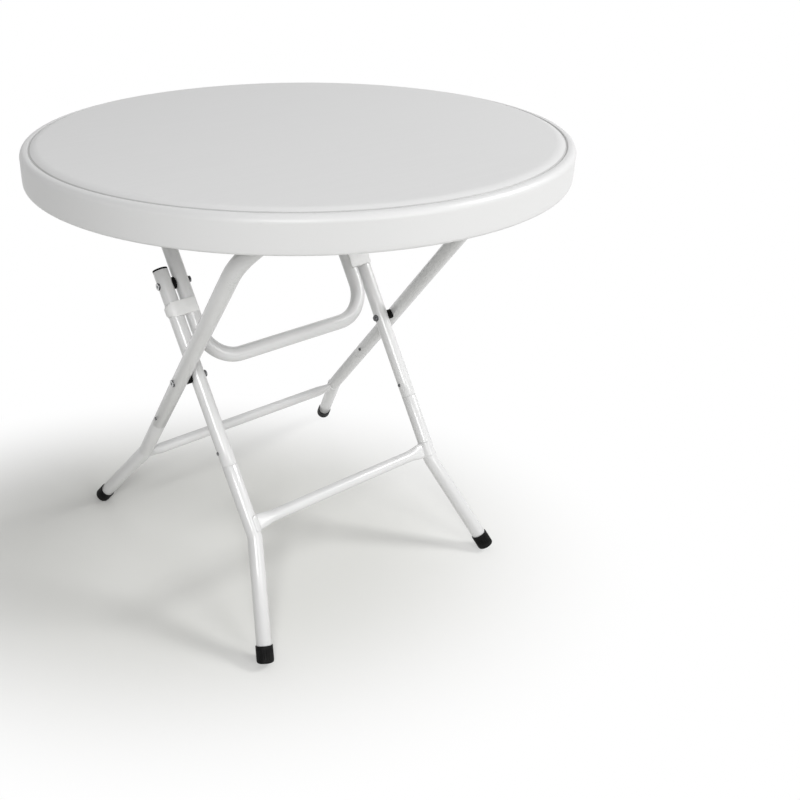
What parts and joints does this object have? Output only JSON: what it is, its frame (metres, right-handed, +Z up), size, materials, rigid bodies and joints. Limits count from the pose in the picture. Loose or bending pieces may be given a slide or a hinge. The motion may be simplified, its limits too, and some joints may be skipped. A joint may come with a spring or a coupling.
{
  "type": "folding table",
  "caption": "Round folding table: hollow moulded plastic top on two crossed steel tube frames, with a U-shaped brace, lock clips and splayed feet.",
  "frame": {"origin": "on the floor, under the middle of the table top", "axes": "+Z up; X along the hinge axes and crossbars, with +X to the right when the outer frame's hinge is nearest; +Y from the outer frame's hinge to the brace's hinge"},
  "size_m": [0.7999, 0.8, 0.743],
  "materials": {
    "top_plastic": "satin white polyethylene with a faint grain on the top",
    "clip_plastic": "white moulded plastic",
    "foot_rubber": "black ribbed rubber",
    "black_plastic": "black moulded plastic",
    "strap_steel": "white powder-coated steel strip",
    "zinc_steel": "zinc-plated steel",
    "white_tube": "gloss white powder coat on steel tube"
  },
  "bodies": {
    "table_top": {"table_top": "top_plastic", "hinge_strap_front_left": "strap_steel", "hinge_strap_front_right": "strap_steel", "hinge_strap_rear_left": "strap_steel", "hinge_strap_rear_right": "strap_steel", "strap_screws": "zinc_steel"},
    "outer_frame": {"outer_hoop": "white_tube", "outer_leg_left": "white_tube", "outer_leg_right": "white_tube", "outer_crossbar": "white_tube", "outer_foot_left": "foot_rubber", "outer_foot_right": "foot_rubber", "outer_leg_screws": "zinc_steel", "cross_bolts": "zinc_steel", "cross_spacer_left": "black_plastic", "cross_spacer_right": "black_plastic"},
    "brace": {"brace_tube": "white_tube", "brace_hinge_bar": "white_tube", "lock_clip_left": "clip_plastic", "lock_clip_right": "clip_plastic"},
    "inner_frame": {"inner_tube_left": "white_tube", "inner_tube_right": "white_tube", "inner_plug_left": "black_plastic", "inner_plug_right": "black_plastic", "inner_leg_left": "white_tube", "inner_leg_right": "white_tube", "inner_crossbar": "white_tube", "inner_foot_left": "foot_rubber", "inner_foot_right": "foot_rubber", "inner_leg_screws": "zinc_steel", "cross_nuts": "zinc_steel", "brace_bolts": "zinc_steel", "brace_spacer_left": "black_plastic", "brace_spacer_right": "black_plastic", "brace_nuts": "zinc_steel"}
  },
  "joints": [
    {"name": "outer_frame_fold", "type": "hinge", "parent": "table_top", "child": "outer_frame", "pos_m": [0, -0.229, 0.69], "axis": [1, 0, 0], "range_deg": [0, 52.58]},
    {"name": "brace_fold", "type": "hinge", "parent": "table_top", "child": "brace", "pos_m": [0, 0.209, 0.69], "axis": [1, 0, 0], "range_deg": [-56.41, 0]},
    {"name": "inner_frame_fold", "type": "hinge", "parent": "brace", "child": "inner_frame", "pos_m": [0, 0.08253, 0.51371], "axis": [1, 0, 0], "range_deg": [0, 176.71]}
  ],
  "couplings": [
    {"joint": "brace_fold", "follows": "outer_frame_fold", "ratio": -1.0727},
    {"joint": "inner_frame_fold", "follows": "outer_frame_fold", "ratio": 3.3604}
  ]
}
